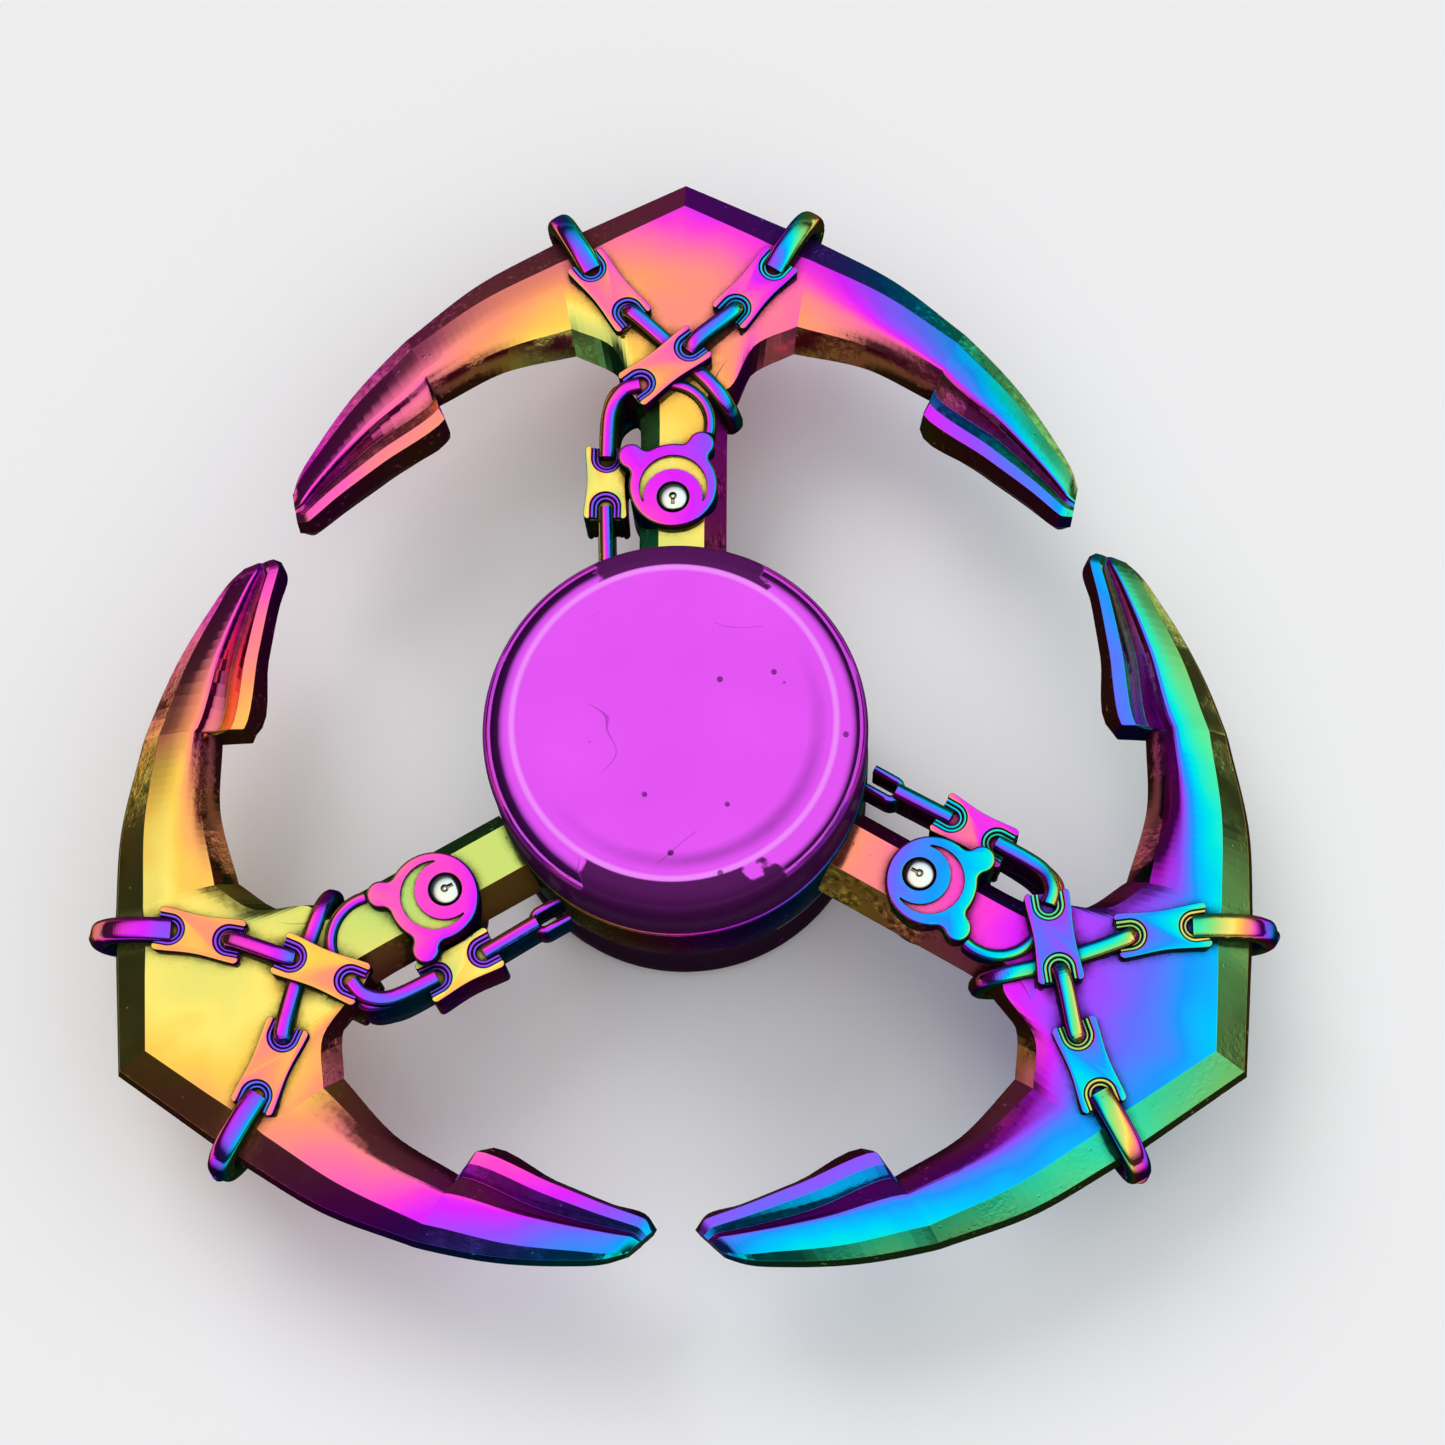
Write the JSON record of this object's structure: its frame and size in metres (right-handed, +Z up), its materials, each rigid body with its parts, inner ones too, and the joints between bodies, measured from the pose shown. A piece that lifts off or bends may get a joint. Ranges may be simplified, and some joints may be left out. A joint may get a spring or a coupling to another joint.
{
  "type": "fidget spinner",
  "caption": "Fidget spinner with anchor-shaped arms wrapped in chain, all rainbow-plated metal, turning on a ball bearing between two round caps.",
  "frame": {"origin": "centre of the bearing, on the spin axis, at the mid-plane of the arms", "axes": "+Z up along the spin axis, out of the top cap; +Y along the shank of arm 1 towards its crown; +X to the right of arm 1"},
  "size_m": [0.0686, 0.0662, 0.0172],
  "materials": {
    "rainbow_casting": "polished",
    "rivet_silver": "polished",
    "violet_cap": "polished",
    "dark_cap": "polished",
    "bearing_steel": "polished",
    "cage_steel": "satin"
  },
  "bodies": {
    "held": {"top_cap": "violet_cap", "bottom_cap": "dark_cap", "bearing_inner_ring": "bearing_steel"},
    "rotor": {"hub_ring": "rainbow_casting", "bearing_outer_ring": "bearing_steel", "shield_top": "cage_steel", "shield_bottom": "cage_steel", "snap_wire_top": "bearing_steel", "snap_wire_bottom": "bearing_steel", "anchor_1": "rainbow_casting", "anchor_2": "rainbow_casting", "anchor_3": "rainbow_casting", "shackle_1": "rainbow_casting", "shackle_2": "rainbow_casting", "shackle_3": "rainbow_casting", "shackle_pin_1": "rivet_silver", "shackle_pin_2": "rivet_silver", "shackle_pin_3": "rivet_silver", "chain_1": "rainbow_casting", "chain_2": "rainbow_casting", "chain_3": "rainbow_casting"},
    "ball_train": {"ball_cage": "cage_steel", "ball_1": "bearing_steel", "ball_2": "bearing_steel", "ball_3": "bearing_steel", "ball_4": "bearing_steel", "ball_5": "bearing_steel", "ball_6": "bearing_steel", "ball_7": "bearing_steel", "ball_8": "bearing_steel", "ball_9": "bearing_steel", "ball_10": "bearing_steel"}
  },
  "joints": [
    {"name": "rotor_spin", "type": "hinge", "parent": "held", "child": "rotor", "pos_m": [0, 0, 0], "axis": [0, 0, 1], "continuous": true},
    {"name": "ball_train_spin", "type": "hinge", "parent": "held", "child": "ball_train", "pos_m": [0, 0, 0], "axis": [0, 0, 1], "continuous": true}
  ],
  "couplings": [
    {"joint": "ball_train_spin", "follows": "rotor_spin", "ratio": 0.5834}
  ]
}
